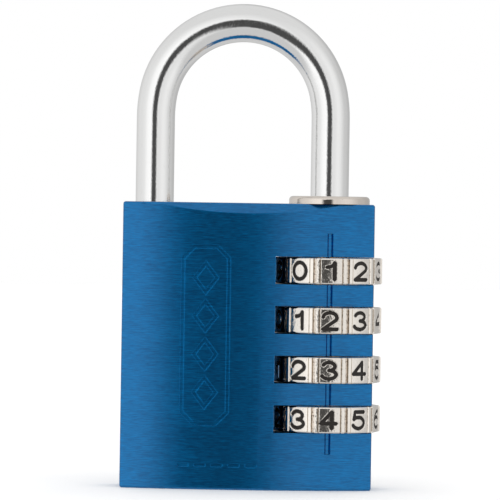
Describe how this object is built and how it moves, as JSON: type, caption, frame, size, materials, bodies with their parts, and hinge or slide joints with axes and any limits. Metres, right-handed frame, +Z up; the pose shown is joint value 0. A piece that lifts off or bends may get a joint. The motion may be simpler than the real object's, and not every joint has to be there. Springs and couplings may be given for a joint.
{
  "type": "combination padlock",
  "caption": "Combination padlock with a rounded block body, number wheels on one side and a round steel shackle that lifts to open.",
  "frame": {"origin": "centre of the body's bottom face", "axes": "+Z up along the shackle's legs, -Y out of the front face with the code line, +X towards the side the number wheels stand out of"},
  "size_m": [0.0414, 0.017, 0.0773],
  "materials": {
    "anodised_body": "brushed, blue anodised",
    "shackle_steel": "polished and plated",
    "bush_nickel": "satin nickel plate",
    "plug_metal": "satin",
    "spring_steel": "bare",
    "dial_nickel": "cast and nickel plated, with black filled digits",
    "tumbler_brass": "bare"
  },
  "bodies": {
    "case": {"lock_body": "anodised_body", "base_plug": "plug_metal", "shackle_bush": "bush_nickel", "thrust_washer": "spring_steel", "tumbler_spring": "spring_steel", "detent_ball_1": "spring_steel", "detent_ball_2": "spring_steel", "detent_ball_3": "spring_steel", "detent_ball_4": "spring_steel", "detent_spring_1": "spring_steel", "detent_spring_2": "spring_steel", "detent_spring_3": "spring_steel", "detent_spring_4": "spring_steel"},
    "shackle": {"shackle": "shackle_steel", "stem_clip": "spring_steel"},
    "wheel_1": {"dial_wheel_1": "dial_nickel", "tumbler_1": "tumbler_brass"},
    "wheel_2": {"dial_wheel_2": "dial_nickel", "tumbler_2": "tumbler_brass"},
    "wheel_3": {"dial_wheel_3": "dial_nickel", "tumbler_3": "tumbler_brass"},
    "wheel_4": {"dial_wheel_4": "dial_nickel", "tumbler_4": "tumbler_brass"}
  },
  "joints": [
    {"name": "shackle_lift", "type": "slide", "parent": "case", "child": "shackle", "axis": [0, 0, 1], "range_m": [0, 0.00785]},
    {"name": "wheel_1_turn", "type": "hinge", "parent": "case", "child": "wheel_1", "pos_m": [0.01285, 0, 0.0349], "axis": [0, 0, 1], "continuous": true},
    {"name": "wheel_2_turn", "type": "hinge", "parent": "case", "child": "wheel_2", "pos_m": [0.01285, 0, 0.02705], "axis": [0, 0, 1], "continuous": true},
    {"name": "wheel_3_turn", "type": "hinge", "parent": "case", "child": "wheel_3", "pos_m": [0.01285, 0, 0.0192], "axis": [0, 0, 1], "continuous": true},
    {"name": "wheel_4_turn", "type": "hinge", "parent": "case", "child": "wheel_4", "pos_m": [0.01285, 0, 0.01135], "axis": [0, 0, 1], "continuous": true}
  ]
}
